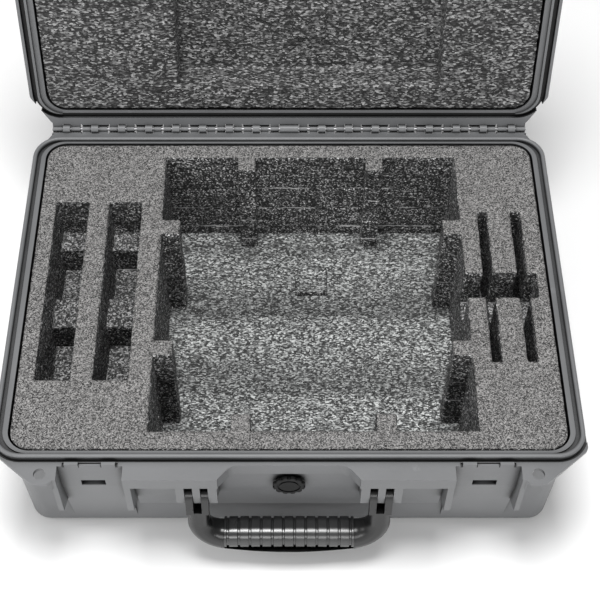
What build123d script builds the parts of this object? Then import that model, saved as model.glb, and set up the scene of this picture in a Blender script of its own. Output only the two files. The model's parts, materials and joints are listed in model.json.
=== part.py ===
from build123d import *
import math
import os

# Hard equipment case with a hinged lid, two latches, a carrying handle and cut foam.
# X runs along the hinge, +Y towards the hinge, +Z up. The origin is on the underside of
# the base, below the centre of the rim. The lid is drawn at its open stop.

os.makedirs("parts", exist_ok=True)

# ---------------------------------------------------------------- driving dimensions
mate_z = 143.0                  # height of the plane where base and lid meet
rim_gap = 0.2                   # each rim stands back this far from that plane
draft = 2.0                     # draft of every moulded wall, degrees
wall = 3.0
body_half_w = 257.8             # outside of the walls, at the mating plane
body_half_d = 187.2
body_corner = 24.0
floor_thick = 4.0
foam_gap = 1.2                  # foam stands off the walls by this much
bottom_fillet = 8.0

tongue_half_w = 265.8           # centre line of the sealing tongue
tongue_half_d = 190.0
tongue_thick = 4.4
tongue_top = 148.0
tongue_corner = 25.0
channel_width = 2.6
channel_depth = 2.6
lip_half_w = 259.6
lip_half_d = 186.8
lip_top = 145.0
seal_gap = 0.35

flange_half_w = 269.3
lid_flange_half_w = 271.4
flange_back = 200.4
flange_front = -213.0
flange_bottom = 127.0
bay_corner_r = 14.0             # bay in the rim behind the handle
bay_mouth_r = 6.0
flange_plate = 4.0
skirt = 3.0
lid_flange_depth = 16.0
lid_depth = 65.0

hinge_y = 206.5
open_angle = 102.8
knuckle_r = 5.3
small_knuckle_r = 3.3
trough_r = 5.0
hinge_block_depth = 6.2
rod_r = 1.6
rod_clearance = 0.05
knuckle_gap = 0.9

latch_x = 178.0                 # centre of each latch
latch_notch = 58.8              # width of the recess in both rims
latch_back = -198.8             # back wall of that recess
catch_top = 116.2
catch_bottom = 107.5
latch_open = 75.0
latch_pin_y = 206.5             # latch pin, in the lid's own frame
latch_pin_z = -12.0
latch_pin_r = 1.75
lever_width = 57.4
lever_half_thick = 5.5
lever_length = 54.0

pin_y = -205.0                  # handle pins
pin_z = 103.5
pin_r = 2.5
bar_y = -215.0
bar_z = 40.0
grip_segments = 11

ear_x = 222.0                   # padlock holes
ear_y = -206.5
ear_front = -216.8
ear_tip = 228.0
padlock_r = 5.5

foam_top = 144.5
glue_lines = [floor_thick, 16.0, 29.0, 61.0, 94.0, foam_top]
lid_foam_face = -2.4
lid_recess_floor = -34.0
lid_foam_back = -61.0

valve_z = 108.0
valve_r = 15.0
valve_panel_y = -195.0

# ---------------------------------------------------------------- frames
base_frame = Plane.XY
lean = math.radians(open_angle)
along_lid = Vector(0, -math.cos(lean), math.sin(lean))
into_lid_face = Vector(0, -math.sin(lean), -math.cos(lean))
# The lid's own frame: x as the case, y from the hinge edge to the latch edge with zero in
# the middle, z out of the open face, zero at the mating plane.
lid_frame = Plane(
    origin=Vector(0, hinge_y, mate_z) + along_lid * hinge_y,
    x_dir=(1, 0, 0),
    z_dir=into_lid_face,
)
draft_tan = math.tan(math.radians(draft))


def side_plane(frame, x):
    """Plane across the case at x: its x is the frame's y and its y is the frame's z."""
    return Plane(
        origin=frame.from_local_coords(Vector(x, 0, 0)),
        x_dir=frame.y_dir,
        z_dir=frame.x_dir,
    )


def block(frame, xs, ys, zs, radius=0.0, mode=Mode.ADD):
    """Box between two x, two y and two z values of a frame, with rounded upright edges."""
    with BuildSketch(frame.offset(zs[0])) as plan:
        with Locations(((xs[0] + xs[1]) / 2, (ys[0] + ys[1]) / 2)):
            if radius > 0:
                RectangleRounded(xs[1] - xs[0], ys[1] - ys[0], radius)
            else:
                Rectangle(xs[1] - xs[0], ys[1] - ys[0])
    extrude(plan.sketch, amount=zs[1] - zs[0], mode=mode)


def ring(frame, half_w, half_d, corner, thick, zs, mode=Mode.ADD):
    """Band around the rim, centred on a rounded rectangle."""
    half = thick / 2
    with BuildSketch(frame.offset(zs[0])) as plan:
        RectangleRounded(2 * (half_w + half), 2 * (half_d + half), corner + half)
        RectangleRounded(2 * (half_w - half), 2 * (half_d - half), corner - half, mode=Mode.SUBTRACT)
    extrude(plan.sketch, amount=zs[1] - zs[0], mode=mode)


def tub(frame, rim_z, zs, inset, mode=Mode.ADD):
    """Tapered block that widens towards the rim, inset from the outside of the walls."""
    shrink = inset + (rim_z - zs[0]) * draft_tan
    with BuildSketch(frame.offset(zs[0])) as plan:
        RectangleRounded(
            2 * (body_half_w - shrink), 2 * (body_half_d - shrink), body_corner - shrink
        )
    extrude(plan.sketch, amount=zs[1] - zs[0], taper=-draft, mode=mode)


def side_prism(frame, xs, points, radius=0.0, mode=Mode.ADD):
    """Prism along x with an outline given as (y, z) points of the frame."""
    with BuildSketch(side_plane(frame, xs[0])) as profile:
        with BuildLine():
            Polyline(*points, close=True)
        make_face()
        if radius > 0:
            fillet(profile.vertices(), radius)
    extrude(profile.sketch, amount=xs[1] - xs[0], mode=mode)


def side_rod(frame, xs, centre, radius, mode=Mode.ADD):
    """Round rod along x through a (y, z) point of the frame."""
    with BuildSketch(side_plane(frame, xs[0])) as profile:
        with Locations(centre):
            Circle(radius)
    extrude(profile.sketch, amount=xs[1] - xs[0], mode=mode)


def flange_plan(frame, z, half_w, flip, handle_bay, inset=0.0):
    """Outline of a rim, with the latch notches and, on the base, the bay behind the handle.

    With an inset it is the hollow under the rim, that far inside the outline.
    """
    corners = [
        (251.0, flange_back),
        (half_w, 167.0),
        (half_w, -182.0),
        (ear_tip, ear_front),
        (214.5, ear_front),
        (210.5, flange_front),
    ]
    outline = corners + [(-x, y) for x, y in reversed(corners)]
    notch_y = latch_back - 15.0
    with BuildSketch(frame.offset(z)) as plan:
        with BuildLine():
            Polyline(*[(x, flip * y) for x, y in outline], close=True)
        make_face()
        if inset > 0:
            offset(amount=-inset, kind=Kind.INTERSECTION)
            with Locations((ear_x, flip * ear_y), (-ear_x, flip * ear_y)):
                Circle(2 * padlock_r, mode=Mode.SUBTRACT)
        else:
            fillet(plan.vertices().filter_by(lambda v: abs(v.X) > ear_x), 7.0)
        with Locations((latch_x, flip * notch_y), (-latch_x, flip * notch_y)):
            Rectangle(latch_notch + 2 * inset, 30.0 + 2 * inset, mode=Mode.SUBTRACT)
        if handle_bay:
            with BuildSketch(mode=Mode.PRIVATE) as bay:
                with BuildLine():
                    Polyline((-52 - inset, -198 + inset), (52 + inset, -198 + inset),
                             (64 + inset, -212), (64 + inset, -230), (-64 - inset, -230),
                             (-64 - inset, -212), close=True)
                make_face()
                fillet(bay.vertices().filter_by_position(Axis.Y, -214, -210), bay_mouth_r)
                fillet(bay.vertices().group_by(Axis.Y)[-1], bay_corner_r)
            add(bay.sketch, mode=Mode.SUBTRACT)
        if inset > 0:
            RectangleRounded(2 * body_half_w, 2 * body_half_d, body_corner, mode=Mode.SUBTRACT)
    return plan.sketch


def mirrored(*values):
    """A span of x on the right, and the same span on the left."""
    return [tuple(values), tuple(-v for v in reversed(values))]


# ---------------------------------------------------------------- hinge layout
# (centre, width, width of the knuckle in its middle) of the blocks on the base and the lid.
# Beside that knuckle the block is a trough, in which two smaller knuckles of the other side turn.
block_width = 28.0
core_width = 7.6
base_blocks = [(0.0, 41.0, 20.0)]
for centre in (63.5, 120.4, 178.0):
    base_blocks += [(centre, block_width, core_width), (-centre, block_width, core_width)]
base_blocks += [(236.9, 31.0, core_width), (-236.9, 31.0, core_width)]
lid_blocks = []
for centre in (35.0, 91.9, 149.2, 206.8):
    lid_blocks += [(centre, block_width, core_width), (-centre, block_width, core_width)]


def hinge_leaf(frame, edge, hinge, top, own_blocks, other_blocks):
    """Hinge blocks of one shell: edge and hinge are the y of its flange and of the hinge axis.

    The axis is at the height of the mating plane, and top is the height of the flange's face.
    """
    axis_z = top + rim_gap
    low = axis_z - hinge_block_depth
    for centre, width, core in own_blocks:
        whole = (centre - width / 2, centre + width / 2)
        side_prism(frame, whole, [(edge, low), (hinge, low), (hinge, top), (edge, top)])
        side_rod(frame, whole, (hinge, axis_z), trough_r, mode=Mode.SUBTRACT)
        middle = (centre - core / 2, centre + core / 2)
        side_prism(frame, middle, [(edge, low), (hinge, low), (hinge, top), (edge, top)])
        side_rod(frame, middle, (hinge, axis_z), knuckle_r)
    for centre, width, core in other_blocks:
        for span in ((centre - width / 2 + knuckle_gap, centre - core / 2 - knuckle_gap),
                     (centre + core / 2 + knuckle_gap, centre + width / 2 - knuckle_gap)):
            arm_low = axis_z - small_knuckle_r
            side_prism(frame, span, [(edge, arm_low), (hinge, arm_low), (hinge, top), (edge, top)])
            side_rod(frame, span, (hinge, axis_z), small_knuckle_r)
    side_rod(frame, (-260, 260), (hinge, axis_z), rod_r + rod_clearance, mode=Mode.SUBTRACT)


# ---------------------------------------------------------------- base shell
gusset_end = 212.0
skirt_start = -150.0
gusset_spans = (mirrored(142.6, latch_x - latch_notch / 2)
                + mirrored(latch_x + latch_notch / 2, gusset_end))
pocket_z = flange_bottom - 1.0
plate_z = mate_z - rim_gap
inside_y = -180.0               # front features are rooted this far in, behind the wall's face

with BuildPart() as base_shell:
    # rim: a plate with a skirt, hollow from below; the skirt ends before the padlock ears
    rim_plan = flange_plan(base_frame, flange_bottom, flange_half_w, 1, True)
    extrude(rim_plan, amount=plate_z - flange_bottom)
    rim_hollow = flange_plan(base_frame, pocket_z, flange_half_w, 1, True, skirt)
    extrude(rim_hollow, amount=plate_z - flange_plate - pocket_z, mode=Mode.SUBTRACT)
    for span in mirrored(gusset_end, flange_half_w + 1):
        side_prism(base_frame, span,
                   [(-230, pocket_z), (-230, plate_z - flange_plate),
                    (skirt_start - 15, plate_z - flange_plate), (skirt_start, pocket_z)], mode=Mode.SUBTRACT)

    # walls and floor
    tub(base_frame, mate_z, (0.0, plate_z), 0.0)
    fillet(base_shell.faces().sort_by(Axis.Z)[0].edges(), bottom_fillet)

    # raised front panel behind the handle, which carries the valve, and the wall of each latch bay
    side_prism(base_frame, (-142.6, 142.6),
               [(inside_y, 139), (-198, 139), (valve_panel_y, 131), (valve_panel_y, 98), (-186.5, 46),
                (inside_y, 46)])
    for side in (-1, 1):
        middle = side * latch_x
        half = latch_notch / 2
        side_prism(base_frame, (middle - half - 1, middle + half + 1),
                   [(inside_y, plate_z), (latch_back, plate_z), (latch_back, 104), (-182.3, 12),
                    (inside_y, 12)])
        block(base_frame, (middle - 11, middle + 11), (latch_back - 1, -191.5),
              (catch_bottom, catch_top), mode=Mode.SUBTRACT)
        # guide tabs at the edge of the bay, each in a shallow moat, and a bar between them
        block(base_frame, (middle - 25, middle + 25), (latch_back - 1, latch_back + 3.4),
              (plate_z - 2.4, plate_z + 1), mode=Mode.SUBTRACT)
        for tab in (-16.6, 16.6):
            block(base_frame, (middle + tab - 6.2, middle + tab + 6.2), (latch_back, latch_back + 2.8),
                  (plate_z - 3, plate_z + 2.6))
        block(base_frame, (middle - 9.6, middle + 9.6), (latch_back, latch_back + 2.0),
              (plate_z - 3, plate_z + 0.6))
    for span in gusset_spans:
        side_prism(base_frame, span, [(-212.4, 141), (-212.4, 82), (inside_y, 60), (inside_y, 141)], 3.0)

    # brackets and centre lug of each handle pivot
    for wall_span in ((65.0, 73.2), (80.4, 87.2), (94.8, 102.5)):
        for span in mirrored(*wall_span):
            side_prism(base_frame, span,
                       [(inside_y, 141), (inside_y, 80), (-191, 80), (-204, 95.0), (-212.4, 95.0),
                        (-212.4, 141)], 3.0)

    # hollow inside
    tub(base_frame, mate_z, (floor_thick, mate_z + 4.0), wall, mode=Mode.SUBTRACT)

    # inner lip and sealing tongue
    with BuildSketch(base_frame.offset(plate_z - 2.0)) as lip:
        RectangleRounded(2 * lip_half_w, 2 * lip_half_d, body_corner)
        RectangleRounded(2 * (body_half_w - wall), 2 * (body_half_d - wall), body_corner - wall,
                         mode=Mode.SUBTRACT)
    extrude(lip.sketch, amount=lip_top - plate_z + 2.0)
    ring(base_frame, tongue_half_w, tongue_half_d, tongue_corner, tongue_thick,
         (plate_z - 1.0, tongue_top))
    tongue_edges = base_shell.edges().filter_by_position(Axis.Z, tongue_top - 0.01, tongue_top + 0.01)
    fillet(tongue_edges, tongue_thick / 2 - 0.2)

    # channel all round the outside of the tongue
    tongue_outside = (tongue_thick + channel_width) / 2
    ring(base_frame, tongue_half_w + tongue_outside, tongue_half_d + tongue_outside,
         tongue_corner + tongue_outside, channel_width, (plate_z - channel_depth, plate_z + 1.0),
         mode=Mode.SUBTRACT)

    hinge_leaf(base_frame, flange_back - 0.5, hinge_y, plate_z, base_blocks, lid_blocks)

    # bores: handle pins, padlocks, valve
    for span in mirrored(60.0, 108.0):
        side_rod(base_frame, span, (pin_y, pin_z), pin_r + 0.02, mode=Mode.SUBTRACT)
    for side in (-1, 1):
        with BuildSketch(base_frame.offset(120.0)) as padlock:
            with Locations((side * ear_x, ear_y)):
                Circle(padlock_r)
        extrude(padlock.sketch, amount=30.0, mode=Mode.SUBTRACT)
    with BuildSketch(Plane.XZ.offset(180.0)) as valve_bore:
        with Locations((0, valve_z)):
            Circle(8.03)
    extrude(valve_bore.sketch, amount=25.0, mode=Mode.SUBTRACT)
base_shell.part.label = "base_shell"
export_step(base_shell.part, "parts/base_shell.step")

# ---------------------------------------------------------------- lid shell
lid_axis = Axis(lid_frame.origin, lid_frame.z_dir)

with BuildPart() as lid_shell:
    tub(lid_frame, 0.0, (-lid_depth, -rim_gap), 0.0)
    fillet(lid_shell.faces().sort_by(lid_axis)[0].edges(), bottom_fillet)

    # rim
    lid_plan = flange_plan(lid_frame, -lid_flange_depth, lid_flange_half_w, -1, False)
    extrude(lid_plan, amount=lid_flange_depth - rim_gap)
    lid_hollow = flange_plan(lid_frame, -lid_flange_depth - 1, lid_flange_half_w, -1, False, skirt)
    extrude(lid_hollow, amount=flange_plate + 1, mode=Mode.SUBTRACT)

    # gussets that hold the latch pins
    for span in gusset_spans:
        side_prism(lid_frame, span, [(182, -1), (182, -44), (190, -42), (212.4, -20), (212.4, -1)])

    # raised bands on the outside
    for centre in (-186, -62, 62, 186):
        block(lid_frame, (centre - 21, centre + 21), (-168, 168), (-lid_depth - 1.6, -lid_depth + 1), 8.0)

    # hollow inside, seat for the base's lip, groove for the tongue
    tub(lid_frame, 0.0, (lid_foam_back, 3.0), wall, mode=Mode.SUBTRACT)
    block(lid_frame, (-lip_half_w - 1.2, lip_half_w + 1.2), (-lip_half_d - 0.8, lip_half_d + 0.8),
          (lid_foam_face, 1.0), body_corner, mode=Mode.SUBTRACT)
    ring(lid_frame, tongue_half_w, tongue_half_d, tongue_corner, tongue_thick + 2 * seal_gap,
         (-9.0, 1.0), mode=Mode.SUBTRACT)
    for side in (-1, 1):
        block(lid_frame, (side * latch_x - latch_notch / 2, side * latch_x + latch_notch / 2),
              (-latch_back - 3.2, -latch_back + 1.0), (-2.6, 1.0), mode=Mode.SUBTRACT)

    hinge_leaf(lid_frame, -flange_back + 0.5, -hinge_y, -rim_gap, lid_blocks, base_blocks)

    # bores: padlocks and latch pins
    for side in (-1, 1):
        with BuildSketch(lid_frame.offset(-20.0)) as padlock:
            with Locations((side * ear_x, -ear_y)):
                Circle(padlock_r)
        extrude(padlock.sketch, amount=22.0, mode=Mode.SUBTRACT)
    for span in mirrored(144.9, 211.1):
        side_rod(lid_frame, span, (latch_pin_y, latch_pin_z), latch_pin_r + 0.02, mode=Mode.SUBTRACT)
lid_shell.part.label = "lid_shell"
export_step(lid_shell.part, "parts/lid_shell.step")

with BuildPart() as lid_gasket:
    ring(lid_frame, tongue_half_w, tongue_half_d, tongue_corner, tongue_thick, (-9.0, -5.3))
lid_gasket.part.label = "lid_gasket"
export_step(lid_gasket.part, "parts/lid_gasket.step")

# ---------------------------------------------------------------- lid foam
with BuildPart() as lid_foam_frame:
    tub(lid_frame, 0.0, (lid_recess_floor, lid_foam_face), wall + foam_gap)
    block(lid_frame, (-115, 157), (-152.5, 152.5), (lid_recess_floor - 1, 1), mode=Mode.SUBTRACT)
lid_foam_frame.part.label = "lid_foam_frame"
export_step(lid_foam_frame.part, "parts/lid_foam_frame.step")

with BuildPart() as lid_foam_backing:
    tub(lid_frame, 0.0, (lid_foam_back, lid_recess_floor), wall + foam_gap)
lid_foam_backing.part.label = "lid_foam_backing"
export_step(lid_foam_backing.part, "parts/lid_foam_backing.step")

with BuildPart() as lid_foam_block:
    block(lid_frame, (4, 38), (-113.5, -79.5), (lid_recess_floor, lid_recess_floor + 7.5))
lid_foam_block.part.label = "lid_foam_block"
export_step(lid_foam_block.part, "parts/lid_foam_block.step")

# ---------------------------------------------------------------- base foam
# Each cut is a span of x, a span of y and the height of its floor.
main_pocket = ((-128.5, 173.0), (-163.5, 164.8))
prong = 18.0
prongs = [
    ((-128.5, -128.5 + prong), (63.2, 81.2)),
    ((-128.5, -128.5 + prong), (-81.6, -64.6)),
    ((173.0 - prong, 173.0), (63.2, 81.2)),
    ((173.0 - prong, 173.0), (-81.6, -64.6)),
]
for left in (-53.3, 80.0):
    prongs.append(((left, left + prong), (164.8 - prong, 164.8)))
    prongs.append(((left, left + prong), (-163.5, -163.5 + prong)))
slots = [((173.0, 243.0), (-14.5, 14.3), 94.0)]
for left in (-237.0, -183.0):
    slots.append(((left, left + 33.0), (-109.0, 104.5), 94.0))
    slots.append(((left, left + 33.0), (19.5, 80.5), 61.0))
    slots.append(((left, left + 33.0), (-109.0, -16.5), 61.0))
for left in (191.0, 224.5):
    slots.append(((left, left + 9.8), (-89.0, 91.4), 61.0))


def foam_layer(low, high, zone):
    """One sheet of the laminated foam block between two x, with the cuts that reach below its top."""
    tub(base_frame, mate_z, (low, high), wall + foam_gap)
    if low >= glue_lines[1]:
        block(base_frame, *main_pocket, (low - 1, high + 1), mode=Mode.SUBTRACT)
        for xs, ys in prongs:
            block(base_frame, xs, ys, (low, high))
    for xs, ys, floor in slots:
        if floor <= low:
            block(base_frame, xs, ys, (low - 1, high + 1), mode=Mode.SUBTRACT)
    block(base_frame, zone, (-body_half_d, body_half_d), (low, high), mode=Mode.INTERSECT)


# The two slotted sheets are drawn as six zones each, which meet face to face. The thin slot nearer
# the main pocket has a zone of its own, between two plain bars.
whole = [("", (-body_half_w, body_half_w))]
zones = [("_left", (-body_half_w, -139.0)), ("_centre", (-139.0, 182.0)), ("_bar", (182.0, 191.0)),
         ("_slot", (191.0, 200.8)), ("_right", (200.8, 212.6)), ("_outer", (212.6, body_half_w))]
sheets = [("floor", whole), ("bottom", whole), ("lower", whole), ("middle", zones), ("top", zones)]
for (sheet, spans), low, high in zip(sheets, glue_lines[:-1], glue_lines[1:]):
    for suffix, zone in spans:
        with BuildPart() as layer:
            foam_layer(low, high, zone)
        name = f"base_foam_{sheet}{suffix}"
        layer.part.label = name
        export_step(layer.part, f"parts/{name}.step")

with BuildPart() as base_foam_block:
    block(base_frame, (7, 41), (79, 113), (glue_lines[1], glue_lines[1] + 6.5))
base_foam_block.part.label = "base_foam_block"
export_step(base_foam_block.part, "parts/base_foam_block.step")

# ---------------------------------------------------------------- hinge rods and handle pins
with BuildPart() as hinge_rods:
    for span in mirrored(1.0, 252.2):
        side_rod(base_frame, span, (hinge_y, mate_z), rod_r)
hinge_rods.part.label = "hinge_rods"
export_step(hinge_rods.part, "parts/hinge_rods.step")

with BuildPart() as handle_pins:
    for span in mirrored(65.2, 102.3):
        side_rod(base_frame, span, (pin_y, pin_z), pin_r)
handle_pins.part.label = "handle_pins"
export_step(handle_pins.part, "parts/handle_pins.step")

with BuildPart() as latch_pins:
    for span in mirrored(145.0, 211.0):
        side_rod(lid_frame, span, (latch_pin_y, latch_pin_z), latch_pin_r)
latch_pins.part.label = "latch_pins"
export_step(latch_pins.part, "parts/latch_pins.step")

# ---------------------------------------------------------------- pressure valve
front_plane = Plane.XZ
panel = -valve_panel_y
flange_in = panel + 1.9
flange_out = panel + 3.4
cap_out = panel + 6.2


def front_disc(depths, radius, mode=Mode.ADD):
    """Disc about the valve's axis between two distances in front of the case's middle."""
    with BuildSketch(front_plane.offset(depths[0])) as plan:
        with Locations((0, valve_z)):
            Circle(radius)
    extrude(plan.sketch, amount=depths[1] - depths[0], mode=mode)


with BuildPart() as valve_body:
    front_disc((183.5, flange_out), 8.0)
    front_disc((flange_in, flange_out), 11.5)
    front_disc((183.0, flange_out + 1), 3.0, Mode.SUBTRACT)
valve_body.part.label = "valve_body"
export_step(valve_body.part, "parts/valve_body.step")

with BuildPart() as valve_seal:
    front_disc((panel, flange_in), 10.6)
    front_disc((panel - 1, flange_in + 1), 8.4, Mode.SUBTRACT)
    fillet(valve_seal.edges(), 0.6)
valve_seal.part.label = "valve_seal"
export_step(valve_seal.part, "parts/valve_seal.step")

with BuildPart() as valve_membrane:
    front_disc((189.0, 189.6), 2.95)
valve_membrane.part.label = "valve_membrane"
export_step(valve_membrane.part, "parts/valve_membrane.step")

with BuildPart() as valve_cap:
    with BuildSketch(front_plane.offset(flange_out)) as scalloped:
        with Locations((0, valve_z)):
            Circle(valve_r)
            with PolarLocations(valve_r + 0.6, 12):
                Circle(2.2, mode=Mode.SUBTRACT)
    extrude(scalloped.sketch, amount=cap_out - flange_out)
    fillet(valve_cap.faces().sort_by(Axis.Y)[0].edges(), 0.7)
    with BuildSketch(front_plane.offset(cap_out - 1.0)) as moat:
        with Locations((0, valve_z)):
            Circle(10.6)
            Circle(8.6, mode=Mode.SUBTRACT)
    extrude(moat.sketch, amount=2.0, mode=Mode.SUBTRACT)
valve_cap.part.label = "valve_cap"
export_step(valve_cap.part, "parts/valve_cap.step")

# ---------------------------------------------------------------- handle
# Its frame: origin on the pins' axis, x as the case, y down the arms, z towards the case.
arm = Vector(0, bar_y - pin_y, bar_z - pin_z)
handle_plane = Plane(
    origin=(0, pin_y, pin_z),
    x_dir=(1, 0, 0),
    z_dir=Vector(1, 0, 0).cross(arm.normalized()),
)
reach = arm.length              # pins to the middle of the bar
arm_x = 84.0
arm_start = 14.0                # below the pins, where the fork ends
elbow = 25.0
grip_half_thick = 14.3
grip_low = reach - 15.2         # grip's extent down the arms
grip_high = reach + 9.3
grip_ends = (-61.0, 61.0)
groove_pitch = 10.46
groove_depth = 1.5
groove_half = 1.1
core_half = 6.0

with BuildPart() as handle_frame:
    with BuildLine(handle_plane) as loop:
        FilletPolyline((arm_x, arm_start), (arm_x, reach), (-arm_x, reach), (-arm_x, arm_start),
                       radius=elbow)
    route = loop.wire()
    leg = reach - elbow - arm_start
    bend = leg + elbow * math.pi / 2
    # stations along the loop: distance, thickness, width, corner radius
    stations = [(0.0, 19.0, 20.8, 6.5), (leg, 20.5, 21.0, 8.5), (bend, 27.0, 28.0, 12.0)]
    stations += [(route.length - at, *size) for at, *size in reversed(stations)]
    sections = []
    for at, thick, width, corner in stations:
        place = route.position_at(at / route.length)
        along = route.tangent_at(at / route.length)
        with BuildSketch(Plane(origin=place, x_dir=handle_plane.z_dir, z_dir=along)) as section:
            RectangleRounded(thick, width, corner)
        sections.append(section.sketch)
    sweep(sections=sections, path=route, multisection=True)
    # fork prongs round each pin
    for prong_span in ((73.6, 80.0), (87.6, 94.4)):
        for span in mirrored(*prong_span):
            side_prism(handle_plane, span, [(0, -9.0), (22, -9.3), (22, 9.3), (0, 9.0)])
            side_rod(handle_plane, span, (0, 0), 9.0)
    for span in mirrored(80.0, 87.6):
        block(handle_plane, span, (-12, 19.5), (-20, 20), mode=Mode.SUBTRACT)
    side_rod(handle_plane, (-100, 100), (0, 0), pin_r + 0.06, mode=Mode.SUBTRACT)
    # the grip takes everything inside its outline but a core
    block(handle_plane, grip_ends, (grip_low - 5, grip_high), (-20, 20), mode=Mode.SUBTRACT)
    block(handle_plane, (grip_ends[0] - 1, grip_ends[1] + 1), (grip_low + 8.5, grip_high + 1),
          (-core_half, core_half))
handle_frame.part.label = "handle_frame"
export_step(handle_frame.part, "parts/handle_frame.step")


def grip_outline(trim, mode):
    """Section of the soft grip round the bar, trimmed all round by that much."""
    with Locations(((grip_low + grip_high) / 2, 0)):
        RectangleRounded(grip_high - grip_low - 2 * trim, 2 * (grip_half_thick - trim), 11.0 - trim,
                         mode=mode)


with BuildPart() as handle_grip:
    with BuildSketch(side_plane(handle_plane, grip_ends[0])) as full_section:
        grip_outline(0.0, Mode.ADD)
    extrude(full_section.sketch, amount=grip_ends[1] - grip_ends[0])
    for index in range(grip_segments + 1):
        x = (index - grip_segments / 2) * groove_pitch - groove_half
        with BuildSketch(side_plane(handle_plane, x)) as groove:
            with Locations((reach, 0)):
                Rectangle(60, 60)
            grip_outline(groove_depth, Mode.SUBTRACT)
        extrude(groove.sketch, amount=2 * groove_half, mode=Mode.SUBTRACT)
    block(handle_plane, (-70, 70), (grip_low + 8.5, grip_high + 5), (-core_half, core_half),
          mode=Mode.SUBTRACT)
handle_grip.part.label = "handle_grip"
export_step(handle_grip.part, "parts/handle_grip.step")


# ---------------------------------------------------------------- latches
def latch_frame(centre_x):
    """Frame of an open latch: origin on its pin, y towards its tip, z towards the case."""
    swing = math.radians(latch_open)
    return Plane(
        origin=lid_frame.from_local_coords(Vector(centre_x, latch_pin_y, latch_pin_z)),
        x_dir=(1, 0, 0),
        z_dir=into_lid_face * math.sin(swing) - along_lid * math.cos(swing),
    )


hook_top = 39.1
button_floor = 1.5
button_half = 11.9
button_y = (14.1, 39.9)

for side, centre_x in (("left", -latch_x), ("right", latch_x)):
    frame = latch_frame(centre_x)

    with BuildPart() as lever:
        side_prism(frame, (-lever_width / 2, lever_width / 2),
                   [(0, -lever_half_thick), (lever_length - 5, -lever_half_thick),
                    (lever_length, -1.5), (lever_length, lever_half_thick), (0, lever_half_thick)])
        side_rod(frame, (-lever_width / 2, lever_width / 2), (0, 0), lever_half_thick)
        side_prism(frame, (-10.3, 10.3),
                   [(hook_top, 5.0), (hook_top, 12.0), (hook_top + 3, 12.0),
                    (hook_top + 6.4, 8.5), (hook_top + 6.4, 5.0)])
        block(frame, (-button_half - 0.3, button_half + 0.3), (button_y[0] - 0.3, button_y[1] + 0.3),
              (-lever_half_thick - 1, button_floor), 2.3, mode=Mode.SUBTRACT)
        side_rod(frame, (-40, 40), (0, 0), latch_pin_r + 0.06, mode=Mode.SUBTRACT)
    lever.part.label = f"latch_lever_{side}"
    export_step(lever.part, f"parts/latch_lever_{side}.step")

    with BuildPart() as button:
        block(frame, (-button_half, button_half), button_y, (-lever_half_thick - 1, -1.0), 2.0)
        with BuildSketch(frame.offset(-5.0)) as spring_seat:
            with Locations((0, sum(button_y) / 2)):
                Circle(3.4)
        extrude(spring_seat.sketch, amount=5.0, mode=Mode.SUBTRACT)
    button.part.label = f"latch_button_{side}"
    export_step(button.part, f"parts/latch_button_{side}.step")

    with BuildPart() as spring:
        spring_base = frame.from_local_coords(Vector(0, sum(button_y) / 2, button_floor - 0.36))
        with BuildLine():
            coil = Helix(pitch=0.95, height=3.33, radius=2.6, center=spring_base, direction=frame.z_dir * -1)
        with BuildSketch(Plane(origin=coil @ 0, z_dir=coil % 0)):
            Circle(0.35)
        sweep()
    spring.part.label = f"latch_spring_{side}"
    export_step(spring.part, f"parts/latch_spring_{side}.step")
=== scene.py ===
import json
import math

import bmesh
import bpy
import numpy as np
from mathutils import Euler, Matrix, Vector


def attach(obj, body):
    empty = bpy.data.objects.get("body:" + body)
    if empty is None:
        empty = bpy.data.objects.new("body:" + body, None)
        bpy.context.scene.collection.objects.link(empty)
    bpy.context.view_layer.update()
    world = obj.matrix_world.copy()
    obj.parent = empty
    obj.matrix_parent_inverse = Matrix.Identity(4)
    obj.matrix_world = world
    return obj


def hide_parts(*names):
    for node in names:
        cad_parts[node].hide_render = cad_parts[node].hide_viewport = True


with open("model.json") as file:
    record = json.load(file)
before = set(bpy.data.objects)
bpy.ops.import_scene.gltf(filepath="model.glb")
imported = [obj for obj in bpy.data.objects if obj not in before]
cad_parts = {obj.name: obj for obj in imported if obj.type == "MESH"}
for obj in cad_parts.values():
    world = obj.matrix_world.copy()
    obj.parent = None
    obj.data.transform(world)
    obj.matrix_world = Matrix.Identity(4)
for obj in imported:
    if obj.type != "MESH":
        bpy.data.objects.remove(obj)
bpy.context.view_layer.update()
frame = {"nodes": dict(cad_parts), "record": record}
nodes = frame["nodes"]
MM = 0.001

# ------------------------------------------------------------------ camera and light
CAMERA_PLACE = Vector((0.0, -766.0, 1199.0)) * MM
CAMERA_PITCH = 54.66            # degrees below the horizon
FOCAL, SENSOR = 80.04, 36.0     # mm
CAMERA_SHIFT = 0.0183           # share of the picture's width
LIT_POINT = (0, 0, 0.1)         # the middle of the base, in metres
WORLD_STRENGTH = 0.36

cam_data = bpy.data.cameras.new("camera")
cam_data.lens = FOCAL
cam_data.sensor_width = SENSOR
cam_data.shift_x = CAMERA_SHIFT
cam = bpy.data.objects.new("camera", cam_data)
cam.location = CAMERA_PLACE
cam.rotation_euler = Euler((math.radians(90.0 - CAMERA_PITCH), 0.0, 0.0))
bpy.context.scene.collection.objects.link(cam)
bpy.context.scene.camera = cam


def area_light(name, place, size, power):
    """Rectangular lamp aimed at the case: place and size in metres, power in watts."""
    data = bpy.data.lights.new(name, "AREA")
    data.shape = "RECTANGLE"
    data.size, data.size_y = size
    data.energy = power
    lamp = bpy.data.objects.new(name, data)
    lamp.location = place
    lamp.rotation_euler = (Vector(LIT_POINT) - Vector(place)).to_track_quat("-Z", "Y").to_euler()
    bpy.context.scene.collection.objects.link(lamp)


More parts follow.
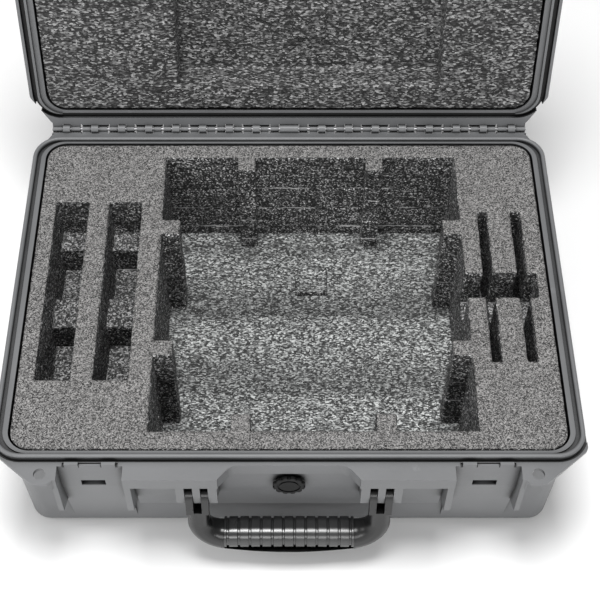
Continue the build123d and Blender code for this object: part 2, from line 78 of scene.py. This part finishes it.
area_light("key", (0.0, -0.05, 2.7), (0.9, 0.9), 58)
area_light("left_fill", (-2.2, -0.4, 1.5), (1.2, 1.2), 14)
area_light("front_fill", (-0.2, -2.5, 1.2), (2.2, 0.8), 30)

world = bpy.data.worlds.new("world")
world.use_nodes = True
world.node_tree.nodes["Background"].inputs["Color"].default_value = (1.0, 1.0, 1.0, 1.0)
world.node_tree.nodes["Background"].inputs["Strength"].default_value = WORLD_STRENGTH
bpy.context.scene.world = world
bpy.context.scene.view_settings.view_transform = "Standard"


# ------------------------------------------------------------------ materials
class Shade:
    """A node material with a Principled shader, built a line at a time."""

    # sockets of the Mix node in its colour mode
    MIX_FACTOR, MIX_A, MIX_B, MIX_RESULT = 0, 6, 7, 2

    def __init__(self, name, color, roughness, **sockets):
        self.mat = bpy.data.materials.new(name)
        self.mat.use_nodes = True
        self.tree = self.mat.node_tree
        self.bsdf = self.tree.nodes["Principled BSDF"]
        self.bsdf.inputs["Base Color"].default_value = (*color, 1.0)
        self.bsdf.inputs["Roughness"].default_value = roughness
        for socket, value in sockets.items():
            self.bsdf.inputs[socket.replace("_", " ")].default_value = value
        self.coords = self.tree.nodes.new("ShaderNodeTexCoord").outputs["Object"]

    def node(self, kind, links=(), **settings):
        made = self.tree.nodes.new("ShaderNode" + kind)
        for key, value in settings.items():
            setattr(made, key, value)
        for socket, source in links:
            self.tree.links.new(source, made.inputs[socket])
        return made

    def noise(self, scale, detail, rough):
        made = self.node("TexNoise", [("Vector", self.coords)])
        made.inputs["Scale"].default_value = scale
        made.inputs["Detail"].default_value = detail
        made.inputs["Roughness"].default_value = rough
        return made.outputs["Fac"]

    def stretched(self, factors):
        """Object coordinates scaled along each axis."""
        made = self.node("VectorMath", [("Vector", self.coords)], operation="MULTIPLY")
        made.inputs[1].default_value = factors
        return made.outputs["Vector"]

    def ramp(self, source, stops):
        made = self.node("ValToRGB", [("Fac", source)])
        ramp = made.color_ramp
        while len(ramp.elements) < len(stops):
            ramp.elements.new(0.5)
        for element, (place, color) in zip(ramp.elements, stops):
            element.position = place
            element.color = (*color, 1.0)
        return made.outputs["Color"]

    def remap(self, source, low, high, to_low, to_high):
        made = self.node("MapRange", [("Value", source)])
        limits = {"From Min": low, "From Max": high, "To Min": to_low, "To Max": to_high}
        for key, value in limits.items():
            made.inputs[key].default_value = value
        return made.outputs["Result"]

    def math(self, operation, a, b):
        made = self.node("Math", operation=operation)
        for index, value in enumerate((a, b)):
            if isinstance(value, (int, float)):
                made.inputs[index].default_value = value
            else:
                self.tree.links.new(value, made.inputs[index])
        return made.outputs["Value"]

    def mix(self, factor, a, b):
        """Colour a, going to colour b as the factor goes to 1."""
        made = self.node("Mix", data_type="RGBA")
        self.tree.links.new(factor, made.inputs[self.MIX_FACTOR])
        self.tree.links.new(a, made.inputs[self.MIX_A])
        made.inputs[self.MIX_B].default_value = (*b, 1.0)
        return made.outputs[self.MIX_RESULT]

    def darken(self, color, shade):
        """Colour multiplied by a shade."""
        made = self.node("Mix", data_type="RGBA", blend_type="MULTIPLY")
        made.inputs[self.MIX_FACTOR].default_value = 1.0
        self.tree.links.new(color, made.inputs[self.MIX_A])
        self.tree.links.new(shade, made.inputs[self.MIX_B])
        return made.outputs[self.MIX_RESULT]

    def bump(self, height, distance, strength, under=None):
        links = [("Height", height)]
        if under is not None:
            links.append(("Normal", under))
        made = self.node("Bump", links)
        made.inputs["Distance"].default_value = distance
        made.inputs["Strength"].default_value = strength
        return made.outputs["Normal"]

    def crevice_shade(self, reach, darkest):
        """Painted shade: white in the open, down to a dark grey in grooves and corners."""
        made = self.node("AmbientOcclusion", samples=8)
        made.inputs["Distance"].default_value = reach
        return self.ramp(made.outputs["AO"], [(0.45, grey(darkest)), (0.95, grey(1.0))])

    def link(self, source, socket):
        self.tree.links.new(source, self.bsdf.inputs[socket])


def grey(value, tint=(1.0, 1.0, 1.0)):
    return tuple(value * t for t in tint)


COLD_GREY = (0.98, 1.0, 1.03)
# reach and darkest grey of the painted shade in the plastics' grooves and corners
CREVICE_SHADE_REACH = 0.009
CREVICE_SHADE_DARK = 0.04


def moulded_plastic(name, base, rough, relief=1.0, gloss=0.5):
    """Moulded polypropylene: fine spark-eroded grain, slow mottling, dry scuffs and painted shade in
    grooves.

    base is the grey of its colour, relief the strength of its grain, and gloss its specular level.
    """
    s = Shade(name, grey(base, COLD_GREY), rough, Specular_IOR_Level=gloss)
    grain = s.noise(1400.0, 2.0, 0.6)
    coarse = s.noise(260.0, 2.0, 0.5)
    slow = s.noise(9.0, 3.0, 0.6)
    color = s.ramp(slow, [(0.3, grey(base * 0.9, COLD_GREY)), (0.7, grey(base * 1.12, COLD_GREY))])
    scuff = s.remap(s.noise(38.0, 6.0, 0.75), 0.62, 0.74, 0.0, 0.35)
    color = s.mix(scuff, color, grey(base * 1.7, COLD_GREY))
    # painted shade: the colour is darkened where ambient occlusion finds grooves and corners
    s.link(s.darken(color, s.crevice_shade(CREVICE_SHADE_REACH, CREVICE_SHADE_DARK)), "Base Color")
    s.link(s.remap(slow, 0.3, 0.7, rough - 0.05, rough + 0.07), "Roughness")
    s.link(s.bump(grain, 0.00012, 0.55 * relief, s.bump(coarse, 0.00018, 0.4 * relief)), "Normal")
    return s.mat


# ------------------------------------------------------------------ foam
def lattice(points, cell, seed):
    """Smooth noise from -1 to 1 at each point, in lumps about one cell across."""
    table = np.random.default_rng(seed).uniform(-1.0, 1.0, (32, 32, 32))
    at = points / cell
    low = np.floor(at).astype(int)
    part = at - low
    part = part * part * (3.0 - 2.0 * part)
    total = np.zeros(len(points))
    for corner in range(8):
        step = [(corner >> axis) & 1 for axis in range(3)]
        weight = np.prod(np.where(step, part, 1.0 - part), axis=1)
        x, y, z = ((low + step) % 32).T
        total += weight * table[x, y, z]
    return total


def grid_lines(stops, pitch):
    """Sorted stops, with even steps of about one pitch between them."""
    stops = sorted(set(round(s, 4) for s in stops))
    lines = []
    for low, high in zip(stops[:-1], stops[1:]):
        count = max(1, round((high - low) / pitch))
        lines += [low + (high - low) * i / count for i in range(count)]
    return np.array(lines + [stops[-1]])


class FoamBlock:
    """Foam as the filled cells of an uneven grid whose lines lie on every cut's edges."""

    def __init__(self, half_w, half_d, corner, z_stops, x_cuts, y_cuts, pitch, z_pitch):
        self.half_w, self.half_d, self.corner = half_w, half_d, corner
        self.x = grid_lines([-half_w, corner - half_w, half_w - corner, half_w, *x_cuts], pitch)
        self.y = grid_lines([-half_d, corner - half_d, half_d - corner, half_d, *y_cuts], pitch)
        self.z = grid_lines(z_stops, z_pitch)
        self.filled = np.ones((len(self.x) - 1, len(self.y) - 1, len(self.z) - 1), bool)

    def fill(self, xs, ys, zs, solid):
        """Fill or clear the cells inside a box."""
        inside = []
        for lines, (low, high) in ((self.x, xs), (self.y, ys), (self.z, zs)):
            middle = (lines[:-1] + lines[1:]) / 2
            inside.append((middle > low) & (middle < high))
        self.filled[np.ix_(*inside)] = solid

    def surface(self):
        """Points and quads of the surface, outward facing."""
        sizes = (len(self.x), len(self.y), len(self.z))
        padded = np.pad(self.filled, 1)
        quads = []
        for axis in range(3):
            here = np.moveaxis(padded, axis, 0)
            for towards in (1, -1):
                # a face lies between a filled cell and an empty one
                if towards == 1:
                    edge = here[:-1] & ~here[1:]
                else:
                    edge = ~here[:-1] & here[1:]
                a, b, c = np.nonzero(edge)
                # cell (b, c) in the padded grid starts at line b - 1
                u, v = b - 1, c - 1
                ring = [(u, v), (u + 1, v), (u + 1, v + 1), (u, v + 1)]
                # the order of the two other axes sets which way the ring turns
                flip = (towards == 1) == (axis == 1)
                if flip:
                    ring = ring[::-1]
                index = []
                for p, q in ring:
                    spot = [None, None, None]
                    others = [n for n in range(3) if n != axis]
                    spot[axis], spot[others[0]], spot[others[1]] = a, p, q
                    index.append((spot[0] * sizes[1] + spot[1]) * sizes[2] + spot[2])
                quads.append(np.stack(index, axis=1))
        quads = np.concatenate(quads)
        used, quads = np.unique(quads, return_inverse=True)
        quads = quads.reshape(-1, 4)
        k = used % sizes[2]
        j = (used // sizes[2]) % sizes[1]
        i = used // (sizes[1] * sizes[2])
        points = np.stack([self.x[i], self.y[j], self.z[k]], axis=1)
        return points, quads


def quad_mesh(name, points, quads):
    """Mesh object of quads from arrays, in metres."""
    mesh = bpy.data.meshes.new(name)
    mesh.vertices.add(len(points))
    mesh.vertices.foreach_set("co", points.astype(np.float32).ravel())
    mesh.loops.add(quads.size)
    mesh.loops.foreach_set("vertex_index", quads.astype(np.int32).ravel())
    mesh.polygons.add(len(quads))
    mesh.polygons.foreach_set("loop_start", np.arange(0, quads.size, 4, dtype=np.int32))
    mesh.polygons.foreach_set("loop_total", np.full(len(quads), 4, dtype=np.int32))
    mesh.update(calc_edges=True)
    mesh.validate()
    made = bpy.data.objects.new(name, mesh)
    bpy.context.scene.collection.objects.link(made)
    return made


def point_normals(points, quads):
    across = points[quads[:, 2]] - points[quads[:, 0]]
    along = points[quads[:, 3]] - points[quads[:, 1]]
    facing = np.cross(across, along)
    facing /= np.maximum(np.linalg.norm(facing, axis=1, keepdims=True), 1e-12)
    total = np.zeros_like(points)
    for corner in range(4):
        np.add.at(total, quads[:, corner], facing)
    return total / np.maximum(np.linalg.norm(total, axis=1, keepdims=True), 1e-12), facing


def smooth(points, quads, times, amount):
    """Pull each point towards the middle of its faces' corners, which rounds the cut edges."""
    count = np.zeros(len(points))
    for corner in range(4):
        np.add.at(count, quads[:, corner], 1.0)
    for _ in range(times):
        middles = points[quads].mean(axis=1)
        total = np.zeros_like(points)
        for corner in range(4):
            np.add.at(total, quads[:, corner], middles)
        points = points + amount * (total / count[:, None] - points)
    return points


LEANING = 8.0                   # width of the outer band that leans, in mm


def round_plan(points, half_w, half_d, corner, shrink):
    """Round the four upright corners of a block and lean its sides in by shrink."""
    sign = np.sign(points[:, :2])
    reach = np.abs(points[:, :2])
    inner = np.array([half_w - corner, half_d - corner])
    part = np.clip((reach - inner) / corner, 0.0, 1.0)
    disc = part * np.sqrt(1.0 - part[:, ::-1] ** 2 / 2.0)
    both = (part > 0).all(axis=1, keepdims=True)
    moved = np.where(both, inner + disc * corner, reach)
    # only the outer band of the block leans, so the cuts stay where they are
    band = np.clip((moved - (np.array([half_w, half_d]) - LEANING)) / LEANING, 0.0, 1.0)
    out = points.copy()
    out[:, :2] = (moved - band * shrink[:, None]) * sign
    return out


FOAM_ROUGHNESS = 0.7
SAW_MARKS = (6.0, 6.0, 300.0)   # long and level
GLUE_HALF = 0.0006              # half a glue line's height, in metres
GLUE_BRIGHT = 9.0
SHADE_BAND_WANDER = 0.022             # in metres


def foam_material(name, base, tint, cell, spread, power, stretch=(1, 1, 1), streak=0.0, glue=(),
                  shade_bands=()):
    """Cut cellular foam: each cell has its own tone; the brightest cells are painted glints off cut
    walls.

    spread is the darkest and the brightest cell against the base tone. streak is the strength of
    level saw marks, glue the heights of glue lines, and shade_bands pairs of y and brightness, a
    painted shade and sheen across a floor.
    """
    s = Shade(name, grey(base, tint), FOAM_ROUGHNESS)
    plain = s.coords
    s.coords = s.stretched(stretch)
    cells = s.node("TexVoronoi", [("Vector", s.coords)], feature="F1")
    cells.inputs["Scale"].default_value = 1.0 / cell
    pick = s.node("SeparateColor", [("Color", cells.outputs["Color"])]).outputs["Red"]
    clumps = s.noise(1.0 / (cell * 3.0), 3.0, 0.65)
    # each cell's own tone, whose brightest cells stand for glints off the cut walls: painted highlights
    tone = s.math("MULTIPLY", s.math("POWER", pick, power), s.remap(clumps, 0.25, 0.75, 0.6, 1.4))
    color = s.ramp(tone, [(0.0, grey(base * spread[0], tint)), (1.0, grey(base * spread[1], tint))])
    slow = s.noise(14.0, 3.0, 0.6)
    color = s.darken(color, s.ramp(slow, [(0.25, grey(0.86)), (0.75, grey(1.0))]))
    s.coords = plain
    split = s.node("SeparateXYZ", [("Vector", plain)]).outputs
    if streak:
        s.coords = s.stretched(SAW_MARKS)
        saw = s.noise(1.0, 2.0, 0.7)
        color = s.darken(color, s.ramp(saw, [(0.35, grey(1.0 - streak)), (0.65, grey(1.0))]))
    s.coords = plain
    broken = s.remap(s.noise(18.0, 3.0, 0.6), 0.45, 0.6, 0.0, 0.85)
    for level in glue:
        off = s.math("ABSOLUTE", s.math("SUBTRACT", split["Z"], level), 0.0)
        near = s.math("LESS_THAN", off, GLUE_HALF)
        color = s.mix(s.math("MULTIPLY", near, broken), color, grey(base * GLUE_BRIGHT, tint))
    # painted shade and sheen in bands across the floor, their edges wandering a little
    if shade_bands:
        wander = s.math("MULTIPLY", s.math("SUBTRACT", s.noise(11.0, 2.0, 0.5), 0.5), SHADE_BAND_WANDER)
        low, high = shade_bands[0][0], shade_bands[-1][0]
        along_y = s.remap(s.math("ADD", split["Y"], wander), low * MM, high * MM, 0.0, 1.0)
        stops = [((y - low) / (high - low), grey(tone)) for y, tone in shade_bands]
        color = s.darken(color, s.ramp(along_y, stops))
    s.link(color, "Base Color")
    s.link(s.bump(cells.outputs["Distance"], cell * 0.5, 0.8, s.bump(clumps, cell * 0.9, 0.7)), "Normal")
    return s.mat


# the lighter edge copies of the shell and handle plastics colour the rounded edges: painted highlights
# along the edges
shell_plastic = moulded_plastic("shell_plastic", 0.145, 0.42)
shell_edge_highlight = moulded_plastic("shell_edge_highlight", 0.28, 0.3)
handle_plastic = moulded_plastic("handle_plastic", 0.009, 0.3, relief=0.5)
handle_edge_highlight = moulded_plastic("handle_edge_highlight", 0.04, 0.25, relief=0.4, gloss=0.7)
valve_plastic = moulded_plastic("valve_plastic", 0.003, 0.55, gloss=0.25)
grip_rubber = moulded_plastic("grip_rubber", 0.011, 0.3, relief=0.35, gloss=0.95)
seal_rubber = moulded_plastic("seal_rubber", 0.02, 0.55)
WARM = (1.02, 1.0, 0.985)
COOL = (0.985, 1.01, 1.0)
NEUTRAL = (1.0, 1.0, 1.0)
# painted shade and sheen on the wavy floor of the main pocket, as pairs of y in mm and brightness
FLOOR_SHADE_BANDS = [(-165.0, 1.0), (-110.0, 0.75), (-69.0, 1.0), (-48.0, 0.84), (-41.0, 0.62), (-20.0, 0.62),
               (17.0, 1.0), (46.0, 0.84), (55.0, 0.46), (80.0, 0.58), (110.0, 0.88), (127.0, 0.86),
               (145.0, 0.52), (158.0, 0.9), (166.0, 0.75)]
# the brightest cells of each foam are painted glints, sparse and strongest on the pocket walls
foam_top = foam_material("foam_top", 0.152, WARM, 0.0009, (0.0, 2.4), 1.3)
foam_wall = foam_material("foam_wall", 0.078, NEUTRAL, 0.0013, (0.15, 14.0), 6.0, streak=0.6,
                          glue=(0.029, 0.061, 0.094))
foam_slot = foam_material("foam_slot", 0.12, NEUTRAL, 0.0014, (0.1, 4.5), 3.0)
foam_floor = foam_material("foam_floor", 0.26, COOL, 0.0013, (0.1, 3.4), 2.6, (0.62, 1.1, 1.0),
                           shade_bands=FLOOR_SHADE_BANDS)
lid_face = foam_material("lid_foam_face", 0.075, NEUTRAL, 0.0014, (0.15, 5.6), 3.6, (0.5, 1.0, 1.0))
steel = Shade("steel", (0.32, 0.32, 0.33), 0.42, Metallic=1.0).mat


def dress(node, material):
    mesh = nodes[node].data
    mesh.materials.clear()
    mesh.materials.append(material)


slot_material = {
    "shell": shell_plastic, "handle": handle_plastic, "valve": valve_plastic, "grip": grip_rubber,
    "seal": seal_rubber, "foam": foam_top, "lid_foam": lid_face, "steel": steel,
}
for part in frame["record"]["subparts"]:
    dress(part["node"], slot_material[part["material_slot"]])

# ------------------------------------------------------------------ moulded parts, soft edges
WELD = 1e-6                     # metres
FLAT_WITHIN = math.radians(0.6)
SHARP_FROM = math.radians(32)


def soften(node, name, body, width, edge_material, material):
    """Copy of a CAD part with its sharp edges rounded to width, in metres, which stands for it."""
    bm = bmesh.new()
    bm.from_mesh(nodes[node].data)
    bmesh.ops.remove_doubles(bm, verts=bm.verts, dist=WELD)
    bmesh.ops.join_triangles(bm, faces=bm.faces, angle_face_threshold=FLAT_WITHIN,
                             angle_shape_threshold=math.pi)
    mesh = bpy.data.meshes.new(name)
    bm.to_mesh(mesh)
    bm.free()
    mesh.materials.clear()
    mesh.materials.append(material)
    mesh.materials.append(edge_material)
    mesh.polygons.foreach_set("material_index", np.zeros(len(mesh.polygons), dtype=np.int32))
    mesh.shade_smooth()
    made = bpy.data.objects.new(name, mesh)
    made.matrix_world = nodes[node].matrix_world
    bpy.context.scene.collection.objects.link(made)
    bevel = made.modifiers.new("bevel", "BEVEL")
    bevel.width = width
    bevel.segments = 2
    bevel.limit_method = "ANGLE"
    bevel.angle_limit = SHARP_FROM
    # the rounded edges take edge_material; where that is a lighter copy of the part's plastic it is a
    # painted highlight
    bevel.material = 1
    weigh = made.modifiers.new("normals", "WEIGHTED_NORMAL")
    weigh.mode = "FACE_AREA"
    weigh.weight = 100
    graph = bpy.context.evaluated_depsgraph_get()
    made.data = bpy.data.meshes.new_from_object(made.evaluated_get(graph))
    made.modifiers.clear()
    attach(made, body)
    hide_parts(node)


for end in ("base", "lid"):
    soften(f"{end}_shell", f"{end}_case", end, 0.0011, shell_edge_highlight, shell_plastic)
soften("handle_frame", "handle_arms", "handle", 0.0007, handle_edge_highlight, handle_plastic)
soften("handle_grip", "handle_ribs", "handle", 0.0004, grip_rubber, grip_rubber)
soften("valve_cap", "valve_knob", "base", 0.0004, valve_plastic, valve_plastic)
for side in ("left", "right"):
    soften(f"latch_lever_{side}", f"latch_{side}_lever", f"latch_{side}", 0.0008,
           handle_edge_highlight, handle_plastic)
    soften(f"latch_button_{side}", f"latch_{side}_button", f"button_{side}", 0.0005,
           handle_edge_highlight, valve_plastic)

# ------------------------------------------------------------------ base foam
# all in millimetres, as in the CAD, until a mesh is made
HALF_W, HALF_D, CORNER = 253.0, 182.4, 19.4
TOP, RIM, LEAN = 144.5, 143.0, math.tan(math.radians(2.0))
POCKET_FLOOR, LOW_FLOOR, HIGH_FLOOR = 16.0, 61.0, 94.0
LAYERS = (4.0, POCKET_FLOOR, 29.0, LOW_FLOOR, HIGH_FLOOR, TOP)
GLUE_LINES = np.array(LAYERS[1:-1])
ABOVE = 200.0                   # a height above the whole foam
MAIN = ((-128.5, 173.0), (-163.5, 164.8))
TEETH = [((-128.5, -110.5), (63.2, 81.2)), ((-128.5, -110.5), (-81.6, -64.6)),
         ((155.0, 173.0), (63.2, 81.2)), ((155.0, 173.0), (-81.6, -64.6))]
for left in (-53.3, 80.0):
    TEETH += [((left, left + 18.0), (146.8, 164.8)), ((left, left + 18.0), (-163.5, -145.5))]
SQUARE = ((7.0, 41.0), (79.0, 113.0))
SQUARE_HEIGHT = 6.5
CUTS = [((173.0, 243.0), (-14.5, 14.3), HIGH_FLOOR)]
for left in (-237.0, -183.0):
    CUTS.append(((left, left + 33.0), (-109.0, 104.5), HIGH_FLOOR))
    CUTS.append(((left, left + 33.0), (19.5, 80.5), LOW_FLOOR))
    CUTS.append(((left, left + 33.0), (-109.0, -16.5), LOW_FLOOR))
for left in (191.0, 224.5):
    CUTS.append(((left, left + 9.8), (-89.0, 91.4), LOW_FLOOR))
PITCH = 2.1
MOST_PROUD = 0.25               # of the two faces that meet when the lid is closed
SMOOTH_TIMES, SMOOTH_AMOUNT = 2, 0.45
EDGE_BAND = 1.0                 # points this near the outline belong to the outer sides
# how far the cut surfaces stand in or out
SHEET_OFFSET, SAW_WAVE = 0.8, 0.35
GROOVE_HALF, GROOVE_DEPTH = 0.6, 0.7
ROUGH_INSIDE, ROUGH_ON_TOP, ROUGH_LUMPS = 0.75, 0.3, 0.25
SHADED_BELOW = 100.0            # a height between the slots' floors and the top face
# the floor's waves: height at places from front to back, and how far the crests wander
WAVE_Y = (-165.0, -120.0, -68.0, -20.0, 32.0, 62.0, 100.0, 141.0, 156.0, 166.0)
WAVE_Z = (0.0, -1.0, 1.6, -1.6, 1.8, -1.4, 1.7, -1.6, 1.2, 0.0)
WAVE_WANDER = 6.0


def glue_stops(levels):
    """Heights of the block's underside and top, and of four grid lines round every glue line."""
    stops = [levels[0], levels[-1]]
    for level in levels[1:-1]:
        stops += [level - 1.6, level - 0.5, level + 0.5, level + 1.6]
    return stops


everything = [*TEETH, MAIN, *[(xs, ys) for xs, ys, _ in CUTS], SQUARE]
floors = [POCKET_FLOOR, POCKET_FLOOR + SQUARE_HEIGHT, LOW_FLOOR, HIGH_FLOOR]
block = FoamBlock(HALF_W, HALF_D, CORNER, glue_stops(LAYERS) + floors,
                  [x for xs, _ in everything for x in xs], [y for _, ys in everything for y in ys],
                  PITCH, PITCH * 1.2)
block.fill(*MAIN, (POCKET_FLOOR, ABOVE), False)
for xs, ys in TEETH:
    block.fill(xs, ys, (POCKET_FLOOR, TOP), True)
for xs, ys, floor_z in CUTS:
    block.fill(xs, ys, (floor_z, ABOVE), False)
block.fill(*SQUARE, (POCKET_FLOOR, POCKET_FLOOR + SQUARE_HEIGHT), True)
points, quads = block.surface()
flat = points.copy()
points = round_plan(points, HALF_W, HALF_D, CORNER, np.maximum(RIM - points[:, 2], 0.0) * LEAN)
points = smooth(points, quads, SMOOTH_TIMES, SMOOTH_AMOUNT)
normals, facing = point_normals(points, quads)
upright = 1.0 - np.abs(normals[:, 2])
inside = (np.abs(flat[:, 0]) < HALF_W - EDGE_BAND) & (np.abs(flat[:, 1]) < HALF_D - EDGE_BAND)
cut = inside & (flat[:, 2] > POCKET_FLOOR + 0.5) & (upright > 0.4)
# each sheet was cut on its own, so its walls stand a little in or out, and the saw left waves
sheet = np.searchsorted(GLUE_LINES, flat[:, 2])
push = np.zeros(len(points))
for index in range(len(LAYERS) - 1):
    mine = sheet == index
    push[mine] = SHEET_OFFSET * lattice(points[mine] * (1, 1, 0.15), 38.0, 10 + index)
push += SAW_WAVE * lattice(points * (1, 1, 3.0), 9.0, 3)
groove = np.min(np.abs(flat[:, 2:3] - GLUE_LINES), axis=1) < GROOVE_HALF
push = np.where(cut, push - GROOVE_DEPTH * groove, 0.0)
# raw cell texture everywhere, coarser inside the cuts
rough = np.where(cut | (flat[:, 2] < SHADED_BELOW), ROUGH_INSIDE, ROUGH_ON_TOP)
push += rough * lattice(points, 2.6, 5) + ROUGH_LUMPS * lattice(points, 7.0, 6)
push = np.where(inside, push, np.minimum(push, 0.0))
push = np.where(flat[:, 2] > TOP - 0.1, np.minimum(push, MOST_PROUD), push)
points = points + normals * push[:, None]
# the floor sheet of the main pocket is wavy
on_floor = inside & (np.abs(flat[:, 2] - POCKET_FLOOR) < 0.1) & (normals[:, 2] > 0.7)
wobble = WAVE_WANDER * lattice(points * (1, 1, 0), 90.0, 8)
points[:, 2] += np.where(on_floor, np.interp(points[:, 1] + wobble, WAVE_Y, WAVE_Z), 0.0)
base_foam = quad_mesh("base_foam", points * MM, quads)
for material in (foam_top, foam_wall, foam_floor, foam_slot):
    base_foam.data.materials.append(material)
IS_TOP, IS_WALL, IS_FLOOR, IS_SLOT = range(4)
height = flat[quads].mean(axis=1)[:, 2]
faces_up = facing[:, 2] > 0.6
kind = np.where(faces_up, IS_TOP, IS_WALL)
kind[faces_up & (height < SHADED_BELOW)] = IS_SLOT
kind[faces_up & (height < POCKET_FLOOR + SQUARE_HEIGHT + 1.5)] = IS_FLOOR
base_foam.data.polygons.foreach_set("material_index", kind.astype(np.int32))
base_foam.data.update()
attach(base_foam, "base")
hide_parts(*[n for n in nodes if n.startswith("base_foam")])

# ------------------------------------------------------------------ lid foam
# shaped flat in the closed lid's own axes, then turned to where the open lid stands
LID_AXIS, LID_OPEN = 206.5, math.radians(102.8)
along = Vector((0, -math.cos(LID_OPEN), math.sin(LID_OPEN)))
outward = Vector((0, -math.sin(LID_OPEN), -math.cos(LID_OPEN)))
lid_origin = Vector((0, LID_AXIS, RIM)) + along * LID_AXIS
to_case = np.array([(1.0, 0.0, 0.0), tuple(along), tuple(outward)])
RECESS = ((-115.0, 157.0), (-152.5, 152.5))
FACE, RECESS_FLOOR, BACK = -2.4, -34.0, -61.0
LID_LUMPS = ((0.9, 4.2, 15), (0.6, 11.0, 16), (0.8, 60.0, 17))  # depth, size and seed
LID_SQUARE = ((4.0, 38.0), (-113.5, -79.5))
LID_SQUARE_TOP = RECESS_FLOOR + 7.5
block = FoamBlock(HALF_W, HALF_D, CORNER, [BACK, RECESS_FLOOR, LID_SQUARE_TOP, FACE],
                  [*RECESS[0], *LID_SQUARE[0]], [*RECESS[1], *LID_SQUARE[1]],
                  PITCH * 1.2, PITCH * 1.3)
block.fill(*RECESS, (RECESS_FLOOR, ABOVE), False)
block.fill(*LID_SQUARE, (RECESS_FLOOR, LID_SQUARE_TOP), True)
points, quads = block.surface()
flat = points.copy()
points = round_plan(points, HALF_W, HALF_D, CORNER, -points[:, 2] * LEAN)
points = smooth(points, quads, SMOOTH_TIMES, SMOOTH_AMOUNT)
normals = point_normals(points, quads)[0]
inside = (np.abs(flat[:, 0]) < HALF_W - EDGE_BAND) & (np.abs(flat[:, 1]) < HALF_D - EDGE_BAND)
inside &= flat[:, 2] > BACK + EDGE_BAND
push = np.zeros(len(points))
for depth, lump, seed in LID_LUMPS:
    push += depth * lattice(points, lump, seed)
push = np.where(inside, push, np.minimum(push, 0.0))
push = np.where(flat[:, 2] > FACE - 0.1, np.minimum(push, MOST_PROUD), push)
points = points + normals * push[:, None]
lid_foam_piece = quad_mesh("lid_foam", (points @ to_case) * MM + np.array(lid_origin) * MM, quads)
lid_foam_piece.data.materials.append(lid_face)
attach(lid_foam_piece, "lid")
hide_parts(*[n for n in nodes if n.startswith("lid_foam")])

# ------------------------------------------------------------------ floor
FLOOR_HALF = 6.0                # metres
FLOOR_GREY = 0.9
floor_mesh = bpy.data.meshes.new("floor")
corners = [(x * FLOOR_HALF, y * FLOOR_HALF, 0) for x, y in ((-1, -1), (1, -1), (1, 1), (-1, 1))]
floor_mesh.from_pydata(corners, [], [(0, 1, 2, 3)])
floor = bpy.data.objects.new("floor", floor_mesh)
bpy.context.scene.collection.objects.link(floor)
floor_mesh.materials.append(Shade("floor", grey(FLOOR_GREY), 0.7).mat)
